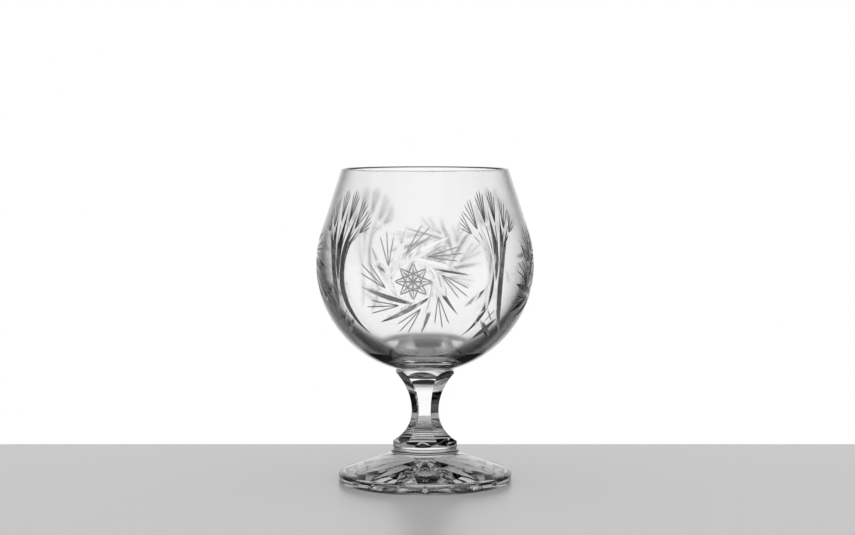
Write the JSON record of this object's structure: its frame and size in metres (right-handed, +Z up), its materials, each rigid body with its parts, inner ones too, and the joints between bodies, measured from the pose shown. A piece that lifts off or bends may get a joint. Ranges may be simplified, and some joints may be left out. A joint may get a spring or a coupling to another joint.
{
  "type": "brandy snifter",
  "caption": "Stemmed brandy glass of clear crystal with a ball-shaped bowl, cut pinwheels and sheaves, a panelled stem, a ring and a star-cut foot.",
  "frame": {"origin": "centre of the foot, on the surface the glass stands on", "axes": "+Z up along the axis of the glass, -Y towards the pictured front"},
  "size_m": [0.09, 0.09, 0.13],
  "materials": {
    "bowl_crystal": "clear polished crystal, ground and polished cuts, fine lines left grey",
    "stem_crystal": "clear polished crystal",
    "foot_crystal": "clear polished crystal, star cut underneath"
  },
  "bodies": {
    "root": {"bowl": "bowl_crystal", "stem": "stem_crystal", "ring": "stem_crystal", "foot": "foot_crystal"}
  },
  "joints": []
}
